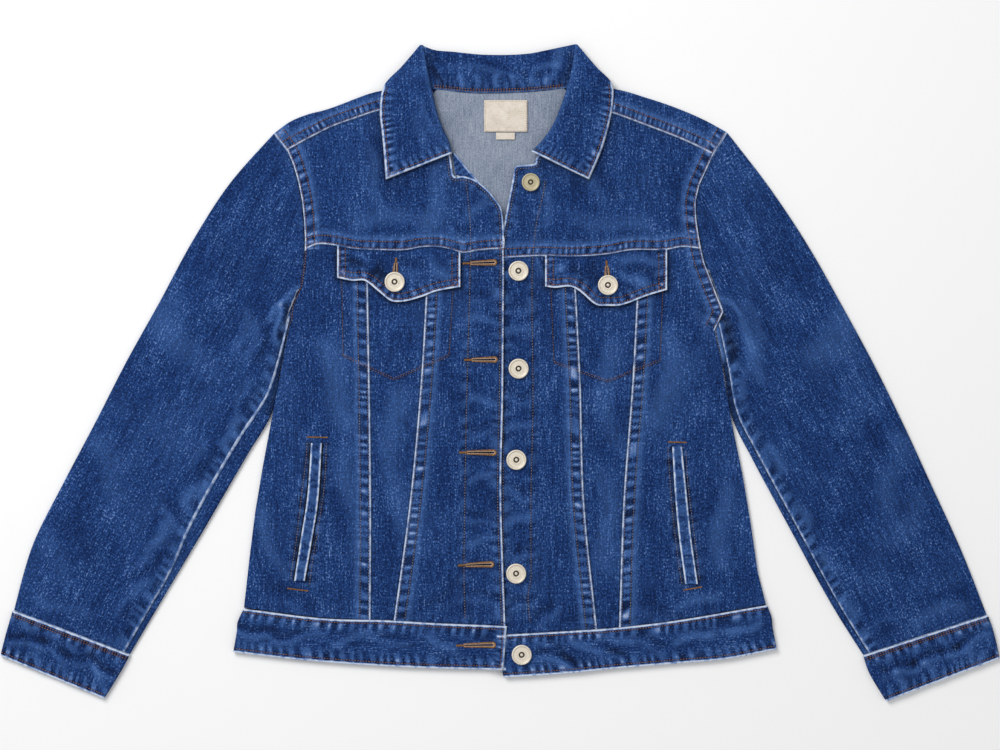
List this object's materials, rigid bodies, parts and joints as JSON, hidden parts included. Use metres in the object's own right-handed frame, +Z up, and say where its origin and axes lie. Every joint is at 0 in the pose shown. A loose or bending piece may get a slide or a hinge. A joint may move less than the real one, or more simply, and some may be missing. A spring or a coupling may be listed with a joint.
{
  "type": "denim jacket",
  "caption": "Denim jacket laid flat and open, with a turned-down collar, flap chest pockets, welt hand pockets, cuffed sleeves and a waistband.",
  "frame": {"origin": "centre of the jacket's bounding box at the height of the surface that it lies on", "axes": "+X across the jacket toward the wearer's left sleeve, +Y toward the collar, +Z up from the surface, front of the jacket up"},
  "size_m": [0.8498, 0.5586, 0.0107],
  "materials": {
    "denim": "washed mid-blue indigo denim, worn pale along its edges",
    "denim_inside": "pale grey-blue reverse of the denim",
    "button_metal": "pale satin metal shank buttons",
    "label_cloth": "bare cream woven label"
  },
  "bodies": {
    "root": {"back_body": "denim", "back_yoke": "denim", "front_yoke_r": "denim", "front_yoke_l": "denim", "front_side_r": "denim", "front_side_l": "denim", "front_wedge_r": "denim", "front_wedge_l": "denim", "front_centre_r": "denim", "front_centre_l": "denim", "flap_r": "denim", "flap_l": "denim", "welt_r": "denim", "welt_l": "denim", "waistband": "denim", "sleeve_top_r": "denim", "sleeve_top_l": "denim", "sleeve_under_r": "denim", "sleeve_under_l": "denim", "cuff_r": "denim", "cuff_l": "denim", "collar": "denim", "facing_r": "denim_inside", "button_1": "button_metal", "button_2": "button_metal", "button_3": "button_metal", "button_4": "button_metal", "button_5": "button_metal", "button_6": "button_metal", "flap_button_r": "button_metal", "flap_button_l": "button_metal", "neck_label": "label_cloth", "size_tab": "label_cloth"}
  },
  "joints": []
}
